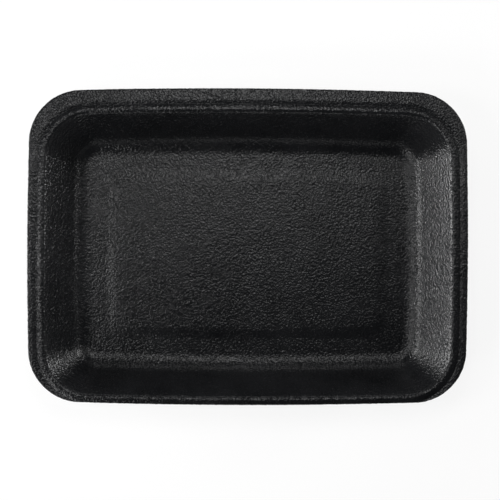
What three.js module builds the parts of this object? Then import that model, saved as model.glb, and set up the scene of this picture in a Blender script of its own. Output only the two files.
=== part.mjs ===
import * as THREE from 'three';

// A foam meat tray: one sheet of foam pressed into a shallow well with sloping walls and a beaded
// rim, then cut out along a bowed outline. Millimetres, +Z up, X along the length, Y across.
// The tray stands on its foot at Z = 0, and its cut outline is centred on the Z axis.

// Cut outline. Lengths and widths of every outline are taken across its middle.
const TRAY_LENGTH = 210;
const TRAY_WIDTH = 151;
const TRAY_CORNER = 23.4;
const TRAY_HEIGHT = 25;

// The edges of the tray bow outwards: how far its ends and its long sides stand out at the middle
const END_BOW = 1.4;
const SIDE_BOW = 2.1;

// Rim, from the crown of its bead out to the cut edge, on each side: the well is cut off centre.
// The crown is the highest line of the tray.
const RIM_LEFT = 6.7;
const RIM_RIGHT = 6.3;
const RIM_NEAR = 2.5;
const RIM_FAR = 9.9;
const CROWN_CORNER = 21.5;
const CROWN_RADIUS = 2.5;

// Walls: how far they run inwards from the crown to the flat floor, at the ends and along the sides
const END_WALL_RUN = 21.7;
const SIDE_WALL_RUN = 20.4;
const CREASE_RADIUS = 10.2;
const FLOOR_CORNER = 4;
const FLOOR_THICKNESS = 3.6;

// Raised panel in the middle of the floor, with a flat band left round it
const BAND_WIDTH = 6.9;
const PANEL_SLOPE = 6;
const PANEL_CORNER = 8;
const PANEL_RISE = 0.5;

// Sharp groove where the round bead meets the flange, and how the flange rises out of it
const GROOVE_DEPTH = 1.4;
const GROOVE_SPREAD = 2.6;
const FLANGE_DROP = 0.7;

// Sheet thickness below the crown and in the wall, and the cut edge
const RIM_THICKNESS = 3;
const WALL_THICKNESS = 3;
const EDGE_ROUND = 0.5;
const UNDER_BEND_OFFSET = 1.3;
const UNDER_BEND_RADIUS = 1.5;

// Facets along the outline and along the section. The flange's rings crowd towards the groove, by a
// power of their share of its width.
const CORNER_STEPS = 10;
const END_STEPS = 6;
const SIDE_STEPS = 10;
const BEAD_STEPS = 5;
const FLANGE_STEPS = 6;
const CROWN_STEPS = 4;
const CREASE_STEPS = 5;
const UNDER_STEPS = 3;
const SLOPE_STEPS = 4;
const FLANGE_CROWDING = 1.5;

// Sizes that follow from the cut outline, the rim and the walls
const CROWN_LENGTH = TRAY_LENGTH - RIM_LEFT - RIM_RIGHT;
const CROWN_WIDTH = TRAY_WIDTH - RIM_NEAR - RIM_FAR;
const WELL_OFFSET_X = (RIM_LEFT - RIM_RIGHT) / 2;
const WELL_OFFSET_Y = (RIM_NEAR - RIM_FAR) / 2;
const FLOOR_LENGTH = CROWN_LENGTH - 2 * END_WALL_RUN;
const FLOOR_WIDTH = CROWN_WIDTH - 2 * SIDE_WALL_RUN;

// Distance from the crown out to the groove, where the round bead has dropped by the groove's depth
const GROOVE_AT = Math.sqrt(CROWN_RADIUS ** 2 - (CROWN_RADIUS - GROOVE_DEPTH) ** 2);

const FOAM_COLOUR = 0x1c1d1f;
const FOAM_ROUGHNESS = 0.62;

// From 0 to 1 with a level start and end
function ease(t) {
  const clamped = Math.min(Math.max(t, 0), 1);
  return (1 - Math.cos(Math.PI * clamped)) / 2;
}

// Points of a straight stretch between two corners, without its two ends
function between(from, to, steps) {
  const points = [];
  for (let i = 1; i < steps; i++) {
    points.push(from.clone().lerp(to, i / steps));
  }
  return points;
}

// Points of a rounded rectangle with bowed sides, anticlockwise, each with its outward direction.
// Every outline has the same number of points, so that neighbours pair up.
function outline(length, width, corner, offsetX = 0, offsetY = 0) {
  const bowX = END_BOW / (TRAY_LENGTH / 2 - END_BOW);
  const bowY = SIDE_BOW / (TRAY_WIDTH / 2 - SIDE_BOW);
  const halfLength = length / 2 / (1 + bowX);
  const halfWidth = width / 2 / (1 + bowY);
  const corners = [[1, 1], [-1, 1], [-1, -1], [1, -1]].map(([sideX, sideY], quarter) => {
    const arc = [];
    for (let i = 0; i <= CORNER_STEPS; i++) {
      const angle = (quarter + i / CORNER_STEPS) * Math.PI / 2;
      arc.push(new THREE.Vector2(
        sideX * (halfLength - corner) + corner * Math.cos(angle),
        sideY * (halfWidth - corner) + corner * Math.sin(angle),
      ));
    }
    return arc;
  });
  const square = corners.flatMap((arc, quarter) => {
    const next = corners[(quarter + 1) % corners.length];
    const steps = quarter % 2 === 0 ? SIDE_STEPS : END_STEPS;
    return [...arc, ...between(arc[arc.length - 1], next[0], steps)];
  });
  const bowed = square.map(({ x, y }) => new THREE.Vector2(
    x * (1 + bowX * (1 - (y / halfWidth) ** 2)),
    y * (1 + bowY * (1 - (x / halfLength) ** 2)),
  ));
  return bowed.map((point, i) => {
    const before = bowed[(i + bowed.length - 1) % bowed.length];
    const after = bowed[(i + 1) % bowed.length];
    const along = after.clone().sub(before).normalize();
    return {
      x: point.x + offsetX,
      y: point.y + offsetY,
      outX: along.y,
      outY: -along.x,
    };
  });
}

// Section of a wall between two level stretches: a round bend, a straight slope and a round crease.
// Each entry is the share of the run gone inwards, and the height lost.
function wallSection(run, drop, bendRadius, creaseRadius, bendSteps, creaseSteps) {
  const rise = drop - bendRadius - creaseRadius;
  const slope = Math.atan2(rise, run) + Math.asin((bendRadius + creaseRadius) / Math.hypot(run, rise));
  const section = [];
  for (let i = 0; i <= bendSteps; i++) {
    const angle = slope * i / bendSteps;
    section.push([bendRadius * Math.sin(angle) / run, bendRadius * (1 - Math.cos(angle))]);
  }
  for (let i = creaseSteps; i >= 0; i--) {
    const angle = slope * i / creaseSteps;
    section.push([1 - creaseRadius * Math.sin(angle) / run, drop - creaseRadius * (1 - Math.cos(angle))]);
  }
  return section;
}

// Rings of a wall from an upper outline down to a lower one, paired point by point
function wallRings(upper, upperZ, lower, lowerZ, bendRadius, creaseRadius, bendSteps, creaseSteps) {
  const sections = upper.map((top, i) => {
    const run = Math.hypot(lower[i].x - top.x, lower[i].y - top.y);
    return wallSection(run, upperZ - lowerZ, bendRadius, creaseRadius, bendSteps, creaseSteps);
  });
  return sections[0].map((_, step) => upper.map((top, i) => {
    const [share, lost] = sections[i][step];
    return [
      THREE.MathUtils.lerp(top.x, lower[i].x, share),
      THREE.MathUtils.lerp(top.y, lower[i].y, share),
      upperZ - lost,
    ];
  }));
}

// Rings of the gentle slope from the floor band up to the raised panel
function panelRings(foot, panel, footZ) {
  const rings = [];
  for (let step = 0; step <= SLOPE_STEPS; step++) {
    const share = step / SLOPE_STEPS;
    rings.push(foot.map((point, i) => [
      THREE.MathUtils.lerp(point.x, panel[i].x, share),
      THREE.MathUtils.lerp(point.y, panel[i].y, share),
      footZ + PANEL_RISE * ease(share),
    ]));
  }
  return rings;
}

// Height of the rim's upper face at a distance outside the crown: the bead is round down to the
// groove, and the flange rises from the groove and levels out
function rimHeight(distance) {
  if (distance < GROOVE_AT) {
    return TRAY_HEIGHT - CROWN_RADIUS + Math.sqrt(CROWN_RADIUS ** 2 - distance ** 2);
  }
  const turn = Math.min((distance - GROOVE_AT) / GROOVE_SPREAD, 1) * Math.PI / 2;
  return TRAY_HEIGHT - GROOVE_DEPTH + (GROOVE_DEPTH - FLANGE_DROP) * Math.sin(turn);
}

// Upper face of the groove and flange from the crown out to the cut edge, and the edge itself
function rimRings(crown, cut) {
  const underZ = TRAY_HEIGHT - RIM_THICKNESS;
  const spokes = crown.map((start, i) => {
    const x = cut[i].x - start.x;
    const y = cut[i].y - start.y;
    const length = Math.hypot(x, y);
    return { start, x: x / length, y: y / length, length, square: (x * start.outX + y * start.outY) / length };
  });
  const onSpoke = (spoke, distance, z) => [
    spoke.start.x + spoke.x * distance,
    spoke.start.y + spoke.y * distance,
    z,
  ];
  const rings = [];
  const addRing = (distanceOn) => rings.push(spokes.map((spoke) => {
    const distance = distanceOn(spoke);
    return onSpoke(spoke, distance, rimHeight(distance * spoke.square));
  }));
  // Where the rim is narrow the groove stays clear of the rounded cut edge
  const grooveOn = (spoke) => Math.min(GROOVE_AT / spoke.square, spoke.length - 2 * EDGE_ROUND);
  for (let step = 1; step <= BEAD_STEPS; step++) {
    addRing((spoke) => grooveOn(spoke) * Math.sin(step / BEAD_STEPS * Math.PI / 2));
  }
  for (let step = 1; step <= FLANGE_STEPS; step++) {
    const share = (step / FLANGE_STEPS) ** FLANGE_CROWDING;
    addRing((spoke) => THREE.MathUtils.lerp(grooveOn(spoke), spoke.length - EDGE_ROUND, share));
  }
  const inset = EDGE_ROUND * (1 - Math.SQRT1_2);
  const edgeHeight = (spoke) => rimHeight(spoke.length * spoke.square);
  rings.push(spokes.map((spoke) => onSpoke(spoke, spoke.length - inset, edgeHeight(spoke) - inset)));
  rings.push(spokes.map((spoke) => onSpoke(spoke, spoke.length, edgeHeight(spoke) - EDGE_ROUND)));
  rings.push(spokes.map((spoke) => onSpoke(spoke, spoke.length, underZ + EDGE_ROUND)));
  rings.push(spokes.map((spoke) => onSpoke(spoke, spoke.length - inset, underZ + inset)));
  rings.push(spokes.map((spoke) => onSpoke(spoke, spoke.length - EDGE_ROUND, underZ)));
  return rings;
}

// Closed skin through a stack of rings, with a point in the middle of the first and of the last
function skin(rings) {
  const count = rings[0].length;
  const positions = rings.flat(2);
  const middle = (ring) => [0, 1, 2].map((axis) => {
    return ring.reduce((sum, point) => sum + point[axis], 0) / count;
  });
  positions.push(...middle(rings[0]), ...middle(rings[rings.length - 1]));
  const firstMiddle = rings.length * count;
  const lastMiddle = firstMiddle + 1;
  const faces = [];
  for (let i = 0; i < count; i++) {
    const next = (i + 1) % count;
    faces.push(firstMiddle, i, next);
    for (let ring = 0; ring < rings.length - 1; ring++) {
      const here = ring * count;
      const beyond = here + count;
      faces.push(here + i, beyond + i, beyond + next);
      faces.push(here + i, beyond + next, here + next);
    }
    const last = (rings.length - 1) * count;
    faces.push(last + i, lastMiddle, last + next);
  }
  const geometry = new THREE.BufferGeometry();
  geometry.setAttribute('position', new THREE.Float32BufferAttribute(positions, 3));
  geometry.setIndex(faces);
  geometry.computeVertexNormals();
  return geometry;
}

// The whole tray: upper face from the middle of the floor out to the cut edge, then the underside
// from the cut edge back to the middle of the foot
function trayGeometry() {
  const pressed = (length, width, corner) => outline(length, width, corner, WELL_OFFSET_X, WELL_OFFSET_Y);
  const bandEdge = 2 * BAND_WIDTH;
  const panelEdge = 2 * (BAND_WIDTH + PANEL_SLOPE);
  const cut = outline(TRAY_LENGTH, TRAY_WIDTH, TRAY_CORNER);
  const crown = pressed(CROWN_LENGTH, CROWN_WIDTH, CROWN_CORNER);
  const floor = pressed(FLOOR_LENGTH, FLOOR_WIDTH, FLOOR_CORNER);
  const panelFoot = pressed(FLOOR_LENGTH - bandEdge, FLOOR_WIDTH - bandEdge, PANEL_CORNER);
  const panel = pressed(FLOOR_LENGTH - panelEdge, FLOOR_WIDTH - panelEdge, PANEL_CORNER);
  const underBend = crown.map((point) => ({
    x: point.x + point.outX * UNDER_BEND_OFFSET,
    y: point.y + point.outY * UNDER_BEND_OFFSET,
  }));
  return skin([
    ...panelRings(panelFoot, panel, FLOOR_THICKNESS).reverse(),
    ...wallRings(crown, TRAY_HEIGHT, floor, FLOOR_THICKNESS,
      CROWN_RADIUS, CREASE_RADIUS, CROWN_STEPS, CREASE_STEPS).reverse(),
    ...rimRings(crown, cut),
    ...wallRings(underBend, TRAY_HEIGHT - RIM_THICKNESS, floor, 0,
      UNDER_BEND_RADIUS, CREASE_RADIUS + WALL_THICKNESS, UNDER_STEPS, CREASE_STEPS),
    ...panelRings(panelFoot, panel, 0),
  ]);
}

const foam = new THREE.MeshStandardMaterial({
  color: FOAM_COLOUR,
  roughness: FOAM_ROUGHNESS,
  metalness: 0,
});

const tray = new THREE.Mesh(trayGeometry(), foam);
tray.name = 'tray';

const meatTray = new THREE.Group();
meatTray.add(tray);

export default meatTray;
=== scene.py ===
import math

import bpy
import numpy as np
from mathutils import Euler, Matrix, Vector, noise


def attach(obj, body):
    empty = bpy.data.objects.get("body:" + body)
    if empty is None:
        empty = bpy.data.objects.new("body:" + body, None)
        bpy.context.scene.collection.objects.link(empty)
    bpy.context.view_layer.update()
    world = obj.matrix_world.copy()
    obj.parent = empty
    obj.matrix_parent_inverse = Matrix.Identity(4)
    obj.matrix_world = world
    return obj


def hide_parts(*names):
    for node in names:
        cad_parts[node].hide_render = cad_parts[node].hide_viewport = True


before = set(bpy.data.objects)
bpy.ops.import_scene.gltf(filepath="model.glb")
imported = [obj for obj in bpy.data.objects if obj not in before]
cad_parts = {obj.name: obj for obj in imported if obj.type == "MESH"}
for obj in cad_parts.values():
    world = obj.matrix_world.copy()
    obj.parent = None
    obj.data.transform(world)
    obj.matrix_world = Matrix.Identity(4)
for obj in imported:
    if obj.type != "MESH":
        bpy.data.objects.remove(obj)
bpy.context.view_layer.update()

MM = 0.001

# Sizes of the tray, lengths and widths across the middle. They are its solid's, apart from the rim
# outside the crown, which is flatter here: bead radius, groove and flange drop
TRAY_LENGTH = 210 * MM
TRAY_WIDTH = 151 * MM
TRAY_CORNER = 23.4 * MM
TRAY_HEIGHT = 25 * MM
END_BOW = 1.4 * MM
SIDE_BOW = 2.1 * MM
RIM_LEFT = 6.7 * MM
RIM_RIGHT = 6.3 * MM
RIM_NEAR = 2.5 * MM
RIM_FAR = 9.9 * MM
CROWN_CORNER = 21.5 * MM
CROWN_RADIUS = 2.5 * MM
END_WALL_RUN = 21.7 * MM
SIDE_WALL_RUN = 20.4 * MM
CREASE_RADIUS = 10.2 * MM
FLOOR_CORNER = 4 * MM
FLOOR_THICKNESS = 3.6 * MM
BAND_WIDTH = 6.9 * MM
PANEL_SLOPE = 6 * MM
PANEL_CORNER = 8 * MM
PANEL_RISE = 0.5 * MM
BEAD_RADIUS = 6 * MM
GROOVE_DEPTH = 0.5 * MM
GROOVE_SPREAD = 2.4 * MM
FLANGE_DROP = 0.1 * MM
RIM_THICKNESS = 3 * MM
WALL_THICKNESS = 3 * MM
EDGE_ROUND = 0.5 * MM
UNDER_BEND_OFFSET = 1.3 * MM
UNDER_BEND_RADIUS = 1.5 * MM

# Sizes that follow from them
CROWN_LENGTH = TRAY_LENGTH - RIM_LEFT - RIM_RIGHT
CROWN_WIDTH = TRAY_WIDTH - RIM_NEAR - RIM_FAR
WELL_OFFSET = ((RIM_LEFT - RIM_RIGHT) / 2, (RIM_NEAR - RIM_FAR) / 2)
FLOOR_LENGTH = CROWN_LENGTH - 2 * END_WALL_RUN
FLOOR_WIDTH = CROWN_WIDTH - 2 * SIDE_WALL_RUN
GROOVE_AT = math.sqrt(BEAD_RADIUS ** 2 - (BEAD_RADIUS - GROOVE_DEPTH) ** 2)

# Unevenness of the foam, pressed in from the sizes above
SWELL_WIDTH = 22 * MM
SWELL_DEPTH = 0.05 * MM
DIMPLE_WIDTH = 6 * MM
DIMPLE_DEPTH = 0.02 * MM
DIMPLE_SHIFT = (7, 3, 5)
CUT_GRAIN = 1.3 * MM
CUT_BITE = 0.3 * MM

# Mesh density: steps along a quarter corner, an end and a long side, and along the section
CORNER_STEPS = 40
END_STEPS = 110
SIDE_STEPS = 170
BEAD_STEPS = 9
FLANGE_STEPS = 15
FLANGE_CROWDING = 1.5
CROWN_STEPS = 6
CREASE_STEPS = 8
WALL_STEPS = 14
BAND_STEPS = 8
SLOPE_STEPS = 6
PANEL_STEPS = 16
UNDER_WALL_STEPS = 6
UNDER_STEPS = 4


def ease(t):
    """From 0 to 1 with a level start and end."""
    return (1 - np.cos(np.pi * np.clip(t, 0, 1))) / 2


def outline(length, width, corner, offset=(0, 0)):
    """Points of a rounded rectangle with bowed sides, anticlockwise."""
    bow_x = END_BOW / (TRAY_LENGTH / 2 - END_BOW)
    bow_y = SIDE_BOW / (TRAY_WIDTH / 2 - SIDE_BOW)
    half_x = length / 2 / (1 + bow_x)
    half_y = width / 2 / (1 + bow_y)
    arcs = []
    for quarter, (side_x, side_y) in enumerate(((1, 1), (-1, 1), (-1, -1), (1, -1))):
        angle = (quarter + np.arange(CORNER_STEPS + 1) / CORNER_STEPS) * math.pi / 2
        x = side_x * (half_x - corner) + corner * np.cos(angle)
        y = side_y * (half_y - corner) + corner * np.sin(angle)
        arcs.append(np.stack([x, y], axis=1))
    points = []
    for quarter, arc in enumerate(arcs):
        start, end = arc[-1], arcs[(quarter + 1) % 4][0]
        steps = SIDE_STEPS if quarter % 2 == 0 else END_STEPS
        share = (np.arange(1, steps) / steps)[:, None]
        points += [arc, start + (end - start) * share]
    x, y = np.concatenate(points).T
    bowed_x = x * (1 + bow_x * (1 - (y / half_y) ** 2)) + offset[0]
    bowed_y = y * (1 + bow_y * (1 - (x / half_x) ** 2)) + offset[1]
    return np.stack([bowed_x, bowed_y], axis=1)


def outward(points):
    """Unit directions that point out of an anticlockwise outline."""
    along = np.roll(points, -1, axis=0) - np.roll(points, 1, axis=0)
    out = np.stack([along[:, 1], -along[:, 0]], axis=1)
    return out / np.linalg.norm(out, axis=1, keepdims=True)


def rough_cut(points):
    """An outline pressed in unevenly, as a cut through the foam's cells is."""
    bite = np.array([1 + noise.noise(Vector((x, y, 0)) / CUT_GRAIN) for x, y in points])
    return points - outward(points) * (CUT_BITE / 2 * bite)[:, None]


def ring(points, height):
    """An outline lifted to a height, or to one height a point."""
    heights = np.broadcast_to(height, len(points))
    return np.column_stack([points, heights])


def wall_section(run, drop, bend, crease, bend_steps, wall_steps, crease_steps):
    """Shares of the run gone inwards and heights lost, from the bend to the crease."""
    rise = drop - bend - crease
    slope = np.arctan2(rise, run) + np.arcsin((bend + crease) / np.hypot(run, rise))
    section = []
    for i in range(bend_steps + 1):
        angle = slope * i / bend_steps
        section.append((bend * np.sin(angle) / run, bend * (1 - np.cos(angle))))
    top = section[-1]
    foot = (1 - crease * np.sin(slope) / run, drop - crease * (1 - np.cos(slope)))
    for i in range(1, wall_steps):
        share = i / wall_steps
        section.append((top[0] + (foot[0] - top[0]) * share, top[1] + (foot[1] - top[1]) * share))
    for i in range(crease_steps, -1, -1):
        angle = slope * i / crease_steps
        section.append((1 - crease * np.sin(angle) / run, drop - crease * (1 - np.cos(angle))))
    return section


def wall_rings(upper, upper_z, lower, lower_z, bend, crease, steps):
    """Rings of a wall from an upper outline down and in to a lower one."""
    run = np.linalg.norm(lower - upper, axis=1)
    section = wall_section(run, upper_z - lower_z, bend, crease, *steps)
    rings = []
    for share, lost in section:
        points = upper + (lower - upper) * np.asarray(share)[:, None]
        rings.append(ring(points, upper_z - lost))
    return rings


def between_rings(first, last, steps):
    """Rings between two rings, without either."""
    return [first + (last - first) * i / steps for i in range(1, steps)]


def panel_rings(foot, panel, foot_z):
    """Rings of the slope from the floor band up to the raised panel."""
    rings = []
    for i in range(SLOPE_STEPS + 1):
        share = i / SLOPE_STEPS
        rings.append(ring(foot + (panel - foot) * share, foot_z + PANEL_RISE * ease(share)))
    return rings


def centre_rings(edge_ring, steps):
    """Rings that shrink from the panel's edge towards its middle."""
    middle = edge_ring.mean(axis=0)
    return [middle + (edge_ring - middle) * (1 - i / steps) for i in range(1, steps)]


def rim_height(distance):
    """Height of the rim's upper face outside the crown: a round bead, a groove and the flange."""
    bead = TRAY_HEIGHT - BEAD_RADIUS + np.sqrt(BEAD_RADIUS ** 2 - np.minimum(distance, GROOVE_AT) ** 2)
    turn = np.clip((distance - GROOVE_AT) / GROOVE_SPREAD, 0, 1) * math.pi / 2
    return bead + (GROOVE_DEPTH - FLANGE_DROP) * np.sin(turn)


def rim_rings(crown, cut):
    """Rings of the groove and flange out to the cut edge, and of the edge itself."""
    under_z = TRAY_HEIGHT - RIM_THICKNESS
    spoke = cut - crown
    length = np.linalg.norm(spoke, axis=1)
    way = spoke / length[:, None]
    square = (way * outward(crown)).sum(axis=1)

    def at(distance, height):
        return ring(crown + way * distance[:, None], height)

    groove = np.minimum(GROOVE_AT / square, length - 2 * EDGE_ROUND)
    distances = [groove * math.sin(i / BEAD_STEPS * math.pi / 2) for i in range(1, BEAD_STEPS + 1)]
    for i in range(1, FLANGE_STEPS + 1):
        distances.append(groove + (length - EDGE_ROUND - groove) * (i / FLANGE_STEPS) ** FLANGE_CROWDING)
    rings = [at(distance, rim_height(distance * square)) for distance in distances]
    inset = EDGE_ROUND * (1 - math.sqrt(0.5))
    edge_z = rim_height(length * square)
    rings.append(at(length - inset, edge_z - inset))
    rings.append(at(length, edge_z - EDGE_ROUND))
    rings.append(at(length, (edge_z + under_z) / 2))
    rings.append(at(length, under_z + EDGE_ROUND))
    rings.append(at(length - inset, under_z + inset))
    rings.append(at(length - EDGE_ROUND, under_z))
    return rings


def tray_rings():
    """All rings of the tray, from the middle of the floor round the edge to the middle below."""
    band, slope = 2 * BAND_WIDTH, 2 * PANEL_SLOPE
    cut = rough_cut(outline(TRAY_LENGTH, TRAY_WIDTH, TRAY_CORNER))
    crown = outline(CROWN_LENGTH, CROWN_WIDTH, CROWN_CORNER, WELL_OFFSET)
    floor = outline(FLOOR_LENGTH, FLOOR_WIDTH, FLOOR_CORNER, WELL_OFFSET)
    foot = outline(FLOOR_LENGTH - band, FLOOR_WIDTH - band, PANEL_CORNER, WELL_OFFSET)
    panel = outline(FLOOR_LENGTH - band - slope, FLOOR_WIDTH - band - slope, PANEL_CORNER, WELL_OFFSET)
    under_bend = crown + outward(crown) * UNDER_BEND_OFFSET
    under_z = TRAY_HEIGHT - RIM_THICKNESS

    slope_above = panel_rings(foot, panel, FLOOR_THICKNESS)
    wall = wall_rings(crown, TRAY_HEIGHT, floor, FLOOR_THICKNESS, CROWN_RADIUS, CREASE_RADIUS,
                      (CROWN_STEPS, WALL_STEPS, CREASE_STEPS))
    rim = rim_rings(crown, cut)
    under_wall = wall_rings(under_bend, under_z, floor, 0, UNDER_BEND_RADIUS,
                            CREASE_RADIUS + WALL_THICKNESS, (UNDER_STEPS, UNDER_WALL_STEPS, CREASE_STEPS))
    slope_below = panel_rings(foot, panel, 0)

    above = list(reversed(centre_rings(slope_above[-1], PANEL_STEPS)))
    above += list(reversed(slope_above))
    above += between_rings(slope_above[0], wall[-1], BAND_STEPS)
    above += list(reversed(wall))
    below = between_rings(rim[-1], under_wall[0], UNDER_STEPS)
    below += under_wall
    below += between_rings(under_wall[-1], slope_below[0], UNDER_STEPS)
    below += slope_below
    below += centre_rings(slope_below[-1], PANEL_STEPS // 2)
    return np.array(above + rim + below)


def ring_normals(rings):
    """Outward normals at the points of a stack of rings."""
    along = np.roll(rings, -1, axis=1) - np.roll(rings, 1, axis=1)
    across = np.gradient(rings, axis=0)
    normals = np.cross(across, along)
    size = np.linalg.norm(normals, axis=2, keepdims=True)
    return normals / np.maximum(size, 1e-12)


def foam_depths(rings):
    """How far each point is pressed in by the foam's uneven skin."""
    flat = rings.reshape(-1, 3)
    depths = np.empty(len(flat))
    for i, (x, y, z) in enumerate(flat):
        place = Vector((x, y, z))
        swell = noise.noise(place / SWELL_WIDTH)
        dimple = noise.noise(place / DIMPLE_WIDTH + Vector(DIMPLE_SHIFT))
        depths[i] = SWELL_DEPTH * (1 + swell) + DIMPLE_DEPTH * (1 + dimple)
    return depths.reshape(rings.shape[:2])


def build_tray():
    """The tray as one closed mesh: its rings joined to each other, and a fan at each middle."""
    rings = tray_rings()
    rings = rings - ring_normals(rings) * foam_depths(rings)[:, :, None]
    rows, columns = rings.shape[:2]
    middles = np.array([rings[0].mean(axis=0), rings[-1].mean(axis=0)])
    vertices = np.concatenate([rings.reshape(-1, 3), middles])
    first_middle = rows * columns
    last_middle = first_middle + 1
    faces = []
    for i in range(columns):
        following = (i + 1) % columns
        faces.append((first_middle, i, following))
        for row in range(rows - 1):
            here, beyond = row * columns, (row + 1) * columns
            faces.append((here + i, beyond + i, beyond + following, here + following))
        last = (rows - 1) * columns
        faces.append((last + i, last_middle, last + following))
    mesh = bpy.data.meshes.new("foam_tray")
    mesh.from_pydata(vertices.tolist(), [], faces)
    mesh.shade_smooth()
    piece = bpy.data.objects.new("foam_tray", mesh)
    bpy.context.scene.collection.objects.link(piece)
    return piece


def new_material(name):
    """An empty material, with its nodes and links."""
    material = bpy.data.materials.new(name)
    material.use_nodes = True
    nodes = material.node_tree.nodes
    nodes.clear()
    return material, nodes, material.node_tree.links


# Skin of the foam: colours, gloss, patterns per metre, depth of the cells and
# roughness from the smooth skin to the open one
DARK_FOAM = (0.0035, 0.0037, 0.0042, 1)
PALE_FOAM = (0.007, 0.0072, 0.008, 1)
FOAM_IOR = 1.5
FOAM_SPECULAR = 0.2
FOAM_ROUGHNESS = (0.12, 0.28)
CLOUD_SCALE = 60
CLOUD_DETAIL = 3
CLOUD_RANGE = (0.3, 0.7)
GLOSS_SCALE = 1500
GLOSS_RANGE = (0.35, 0.65)
CELL_SCALE = 950
CELL_RELIEF = 0.14 * MM
GRAIN_SCALE = 1500
GRAIN_DETAIL = 1


def foam_material():
    """Black foam: a dark satin skin with fine cells, faint clouding and uneven gloss."""
    material, nodes, links = new_material("black_foam")
    output = nodes.new("ShaderNodeOutputMaterial")
    shader = nodes.new("ShaderNodeBsdfPrincipled")
    shader.inputs["Metallic"].default_value = 0
    shader.inputs["IOR"].default_value = FOAM_IOR
    shader.inputs["Specular IOR Level"].default_value = FOAM_SPECULAR
    links.new(shader.outputs["BSDF"], output.inputs["Surface"])
    place = nodes.new("ShaderNodeTexCoord")

    def noise_node(scale, detail):
        node = nodes.new("ShaderNodeTexNoise")
        node.inputs["Scale"].default_value = scale
        node.inputs["Detail"].default_value = detail
        links.new(place.outputs["Object"], node.inputs["Vector"])
        return node

    clouds = noise_node(CLOUD_SCALE, CLOUD_DETAIL)
    colours = nodes.new("ShaderNodeValToRGB")
    for stop, position, colour in zip(colours.color_ramp.elements, CLOUD_RANGE, (DARK_FOAM, PALE_FOAM)):
        stop.position = position
        stop.color = colour
    links.new(clouds.outputs["Fac"], colours.inputs["Fac"])
    links.new(colours.outputs["Color"], shader.inputs["Base Color"])

    gloss = noise_node(GLOSS_SCALE, GRAIN_DETAIL)
    roughness = nodes.new("ShaderNodeMapRange")
    roughness.inputs["From Min"].default_value = GLOSS_RANGE[0]
    roughness.inputs["From Max"].default_value = GLOSS_RANGE[1]
    roughness.inputs["To Min"].default_value = FOAM_ROUGHNESS[0]
    roughness.inputs["To Max"].default_value = FOAM_ROUGHNESS[1]
    links.new(gloss.outputs["Fac"], roughness.inputs["Value"])
    links.new(roughness.outputs["Result"], shader.inputs["Roughness"])

    cells = nodes.new("ShaderNodeTexVoronoi")
    cells.inputs["Scale"].default_value = CELL_SCALE
    links.new(place.outputs["Object"], cells.inputs["Vector"])
    grain = noise_node(GRAIN_SCALE, GRAIN_DETAIL)
    relief = nodes.new("ShaderNodeMath")
    relief.operation = "ADD"
    links.new(cells.outputs["Distance"], relief.inputs[0])
    links.new(grain.outputs["Fac"], relief.inputs[1])
    bump = nodes.new("ShaderNodeBump")
    bump.inputs["Strength"].default_value = 1
    bump.inputs["Distance"].default_value = CELL_RELIEF
    links.new(relief.outputs["Value"], bump.inputs["Height"])
    links.new(bump.outputs["Normal"], shader.inputs["Normal"])
    return material


# Camera, at the photograph's angle: almost straight above, a little to the left
CAMERA_DISTANCE = 0.63
CAMERA_LEAN = (-14 * MM, 0 * MM)
CAMERA_ROLL = math.radians(0.23)
CAMERA_LENS = 95.5
CAMERA_SENSOR = 36
CAMERA_CLIP = 10 * MM
CAMERA_AIM = (0.77 * MM, -1.53 * MM, 24.5 * MM)


def add_camera():
    """The camera, leaned and rolled about the point it looks at."""
    data = bpy.data.cameras.new("camera")
    data.sensor_width = CAMERA_SENSOR
    data.lens = CAMERA_LENS
    data.clip_start = CAMERA_CLIP
    camera = bpy.data.objects.new("camera", data)
    bpy.context.scene.collection.objects.link(camera)
    back = Vector((*CAMERA_LEAN, CAMERA_DISTANCE))
    camera.location = Vector(CAMERA_AIM) + back
    tilt = Vector((0, 0, 1)).rotation_difference(back).to_matrix()
    roll = Euler((0, 0, CAMERA_ROLL)).to_matrix()
    camera.rotation_euler = (tilt @ roll).to_euler()
    bpy.context.scene.camera = camera


# Light: soft lamps by place in metres, power in watts and size of the square, and a faint even glow
WHITE = (1, 1, 1, 1)
WORLD_STRENGTH = 0.02
LIGHT_AIM = (0, 0, 0.012)
LAMPS = {
    "light_above": ((0, 0.15, 0.45), 0.69, 0.15),
    "light_above_left": ((-0.3, 0, 0.45), 0.9, 0.15),
    "light_above_right": ((0.3, 0.15, 0.45), 0.29, 0.15),
    "light_near_left": ((-0.38, -0.38, 0.46), 1.7, 0.2),
    "light_low_left": ((-0.696, 0, 0.085), 5.1, 0.2),
    "light_low_far_left": ((-0.643, 0.266, 0.085), 3.8, 0.2),
    "light_low_right": ((0.643, 0.266, 0.085), 4.2, 0.2),
    "light_low_near": ((0, -0.696, 0.085), 0.5, 0.2),
    "light_far": ((0, 0.658, 0.251), 0.4, 0.2),
}


def area_light(name, place, power, size):
    """A square soft light at a place, aimed at the tray."""
    data = bpy.data.lights.new(name, "AREA")
    data.shape = "SQUARE"
    data.size = size
    data.energy = power
    light = bpy.data.objects.new(name, data)
    bpy.context.scene.collection.objects.link(light)
    away = Vector(place) - Vector(LIGHT_AIM)
    light.location = place
    light.rotation_euler = away.to_track_quat("Z", "Y").to_euler()
    light.visible_camera = False


def add_lights():
    """All lamps, and the glow from all round."""
    for name, (place, power, size) in LAMPS.items():
        area_light(name, place, power, size)
    world = bpy.data.worlds.new("world")
    world.use_nodes = True
    background = world.node_tree.nodes["Background"]
    background.inputs["Color"].default_value = WHITE
    background.inputs["Strength"].default_value = WORLD_STRENGTH
    bpy.context.scene.world = world


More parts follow.
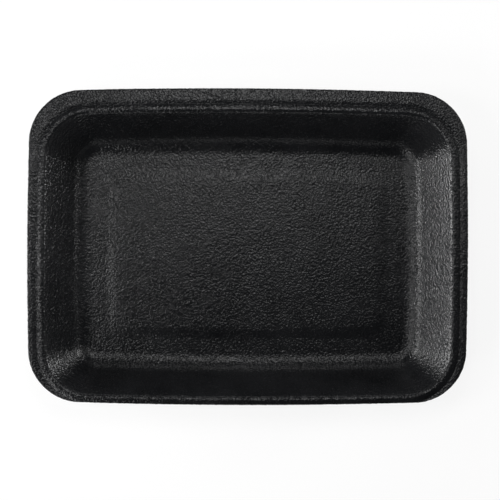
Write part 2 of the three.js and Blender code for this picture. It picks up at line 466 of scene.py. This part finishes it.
# Floor and the low backdrop round it, in metres, their paint, and the share of them that looks plain white
FLOOR_HALF = 4
BACKDROP_HEIGHT = 1.2
FLOOR_PAINT = (0.9, 0.9, 0.9, 1)
WHITE_SHARE = 0.85


def add_floor():
    """A pale floor and backdrop that look white to the camera; the floor keeps a soft shadow."""
    mesh = bpy.data.meshes.new("floor")
    square = [(x * FLOOR_HALF, y * FLOOR_HALF) for x, y in ((-1, -1), (1, -1), (1, 1), (-1, 1))]
    corners = [(x, y, z) for z in (0, BACKDROP_HEIGHT) for x, y in square]
    walls = [(i, (i + 1) % 4, (i + 1) % 4 + 4, i + 4) for i in range(4)]
    mesh.from_pydata(corners, [], [(0, 1, 2, 3)] + walls)
    floor = bpy.data.objects.new("floor", mesh)
    bpy.context.scene.collection.objects.link(floor)
    material, nodes, links = new_material("floor_white")
    output = nodes.new("ShaderNodeOutputMaterial")
    paint = nodes.new("ShaderNodeBsdfDiffuse")
    paint.inputs["Color"].default_value = FLOOR_PAINT
    glow = nodes.new("ShaderNodeEmission")
    glow.inputs["Color"].default_value = WHITE
    glow.inputs["Strength"].default_value = 1
    ray = nodes.new("ShaderNodeLightPath")
    seen = ray.outputs["Is Camera Ray"]
    for kind in ("Is Glossy Ray", "Is Transmission Ray"):
        either = nodes.new("ShaderNodeMath")
        either.operation = "ADD"
        links.new(seen, either.inputs[0])
        links.new(ray.outputs[kind], either.inputs[1])
        seen = either.outputs["Value"]
    share = nodes.new("ShaderNodeMath")
    share.operation = "MULTIPLY"
    share.inputs[1].default_value = WHITE_SHARE
    mix = nodes.new("ShaderNodeMixShader")
    links.new(seen, share.inputs[0])
    links.new(share.outputs["Value"], mix.inputs["Fac"])
    links.new(paint.outputs["BSDF"], mix.inputs[1])
    links.new(glow.outputs["Emission"], mix.inputs[2])
    links.new(mix.outputs["Shader"], output.inputs["Surface"])
    mesh.materials.append(material)


def add_tray():
    """The foam tray with its material, in place of the solid."""
    piece = build_tray()
    piece.data.materials.append(foam_material())
    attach(piece, "root")
    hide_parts("tray")


add_camera()
add_tray()
add_floor()
add_lights()
bpy.context.scene.view_settings.view_transform = "Standard"
